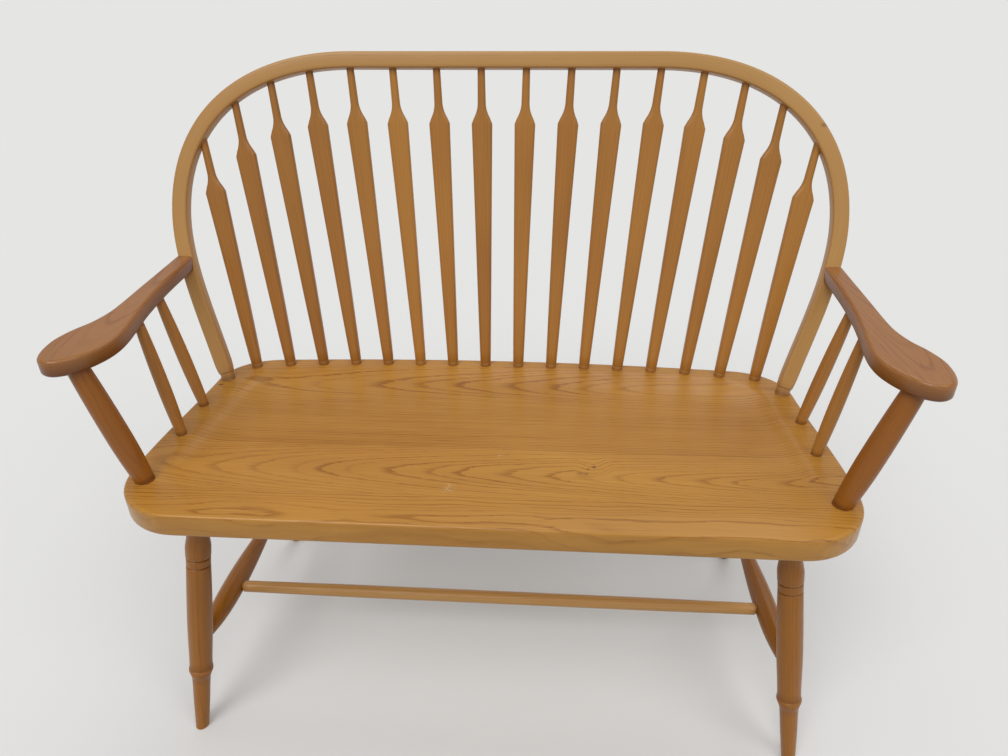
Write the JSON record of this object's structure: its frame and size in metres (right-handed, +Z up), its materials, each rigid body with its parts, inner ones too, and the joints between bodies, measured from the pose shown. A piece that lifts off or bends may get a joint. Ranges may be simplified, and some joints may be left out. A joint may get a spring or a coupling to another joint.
{
  "type": "deacons bench",
  "caption": "Two-seat oak bench with a saddled plank seat, a bent bow back filled with arrow spindles, paddle arms on turned posts, and splayed turned legs with stretchers.",
  "frame": {"origin": "on the floor, under the middle of the bench's bounding box", "axes": "+X to the right of someone who faces the bench's front, +Y to its back, +Z up"},
  "size_m": [1.0856, 0.5242, 0.9376],
  "materials": {
    "seat_oak": "honey oak under satin lacquer",
    "bow_oak": "honey oak under satin lacquer",
    "spindle_oak": "honey oak under satin lacquer",
    "arm_oak": "reddish honey oak under satin lacquer",
    "leg_oak": "honey oak under satin lacquer",
    "zinc_steel": "zinc plated"
  },
  "bodies": {
    "root": {"back_bow": "bow_oak", "back_spindle_01": "spindle_oak", "back_spindle_02": "spindle_oak", "back_spindle_03": "spindle_oak", "back_spindle_04": "spindle_oak", "back_spindle_05": "spindle_oak", "back_spindle_06": "spindle_oak", "back_spindle_07": "spindle_oak", "back_spindle_08": "spindle_oak", "back_spindle_09": "spindle_oak", "back_spindle_10": "spindle_oak", "back_spindle_11": "spindle_oak", "back_spindle_12": "spindle_oak", "back_spindle_13": "spindle_oak", "back_spindle_14": "spindle_oak", "back_spindle_15": "spindle_oak", "back_spindle_16": "spindle_oak", "centre_stretcher": "leg_oak", "left_arm": "arm_oak", "left_arm_plug": "bow_oak", "left_arm_post": "spindle_oak", "left_arm_screw": "zinc_steel", "left_arm_spindle_front": "spindle_oak", "left_arm_spindle_rear": "spindle_oak", "left_front_leg": "leg_oak", "left_rear_leg": "leg_oak", "left_side_stretcher": "leg_oak", "right_arm": "arm_oak", "right_arm_plug": "bow_oak", "right_arm_post": "spindle_oak", "right_arm_screw": "zinc_steel", "right_arm_spindle_front": "spindle_oak", "right_arm_spindle_rear": "spindle_oak", "right_front_leg": "leg_oak", "right_rear_leg": "leg_oak", "right_side_stretcher": "leg_oak", "seat": "seat_oak"}
  },
  "joints": []
}
